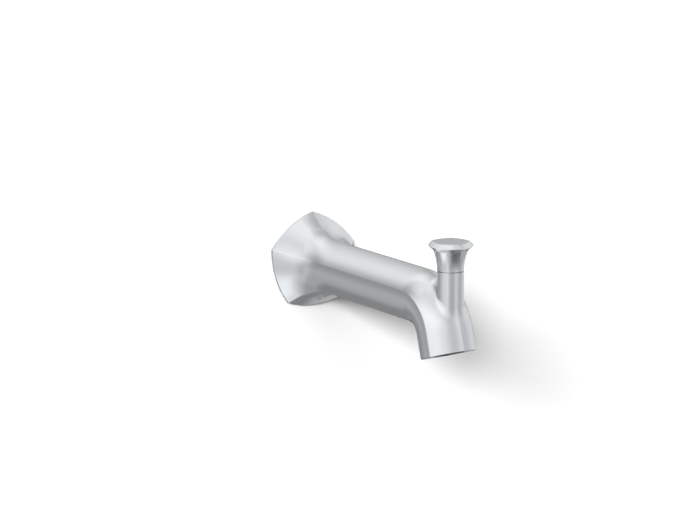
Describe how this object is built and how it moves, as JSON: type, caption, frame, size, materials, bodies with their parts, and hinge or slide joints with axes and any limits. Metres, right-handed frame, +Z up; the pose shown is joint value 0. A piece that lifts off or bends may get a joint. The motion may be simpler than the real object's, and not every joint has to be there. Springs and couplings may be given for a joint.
{
  "type": "bath spout",
  "caption": "Wall-mounted five-sided bath spout with a flared flange, a turned-down mouth and a pull-up diverter knob on a collar above it.",
  "frame": {"origin": "centre of the supply pipe in the plane of the wall, at the mouth of the inlet sleeve", "axes": "+Y into the wall along the pipe, the spout reaches out towards -Y; +Z up along the diverter's lift; +X to the right for someone facing the wall"},
  "size_m": [0.0684, 0.1929, 0.0827],
  "materials": {
    "chrome_plated_brass": "polished chrome plate with a soft satin sheen",
    "turned_brass": "machined",
    "stainless_steel": "turned",
    "black_rubber": "moulded nitrile",
    "grey_foam": "closed-cell foam",
    "white_acetal": "moulded",
    "grey_acetal": "moulded"
  },
  "bodies": {
    "spout": {"spout_body": "chrome_plated_brass", "wall_gasket": "grey_foam", "inlet_adapter": "turned_brass", "adapter_o_ring": "black_rubber", "pipe_o_ring_front": "black_rubber", "pipe_o_ring_rear": "black_rubber", "set_screw": "stainless_steel", "stem_guide": "turned_brass", "guide_o_ring": "black_rubber", "stem_seal": "black_rubber", "seal_retainer": "stainless_steel", "diverter_cage": "white_acetal", "port_seal": "black_rubber", "stream_former": "grey_acetal"},
    "diverter": {"knob": "chrome_plated_brass", "lift_rod": "stainless_steel", "seal_washer": "stainless_steel", "disc_seal": "black_rubber", "valve_disc": "turned_brass", "rod_clip": "stainless_steel"}
  },
  "joints": [
    {"name": "diverter_lift", "type": "slide", "parent": "spout", "child": "diverter", "axis": [0, 0, 1], "range_m": [0, 0.008]}
  ]
}
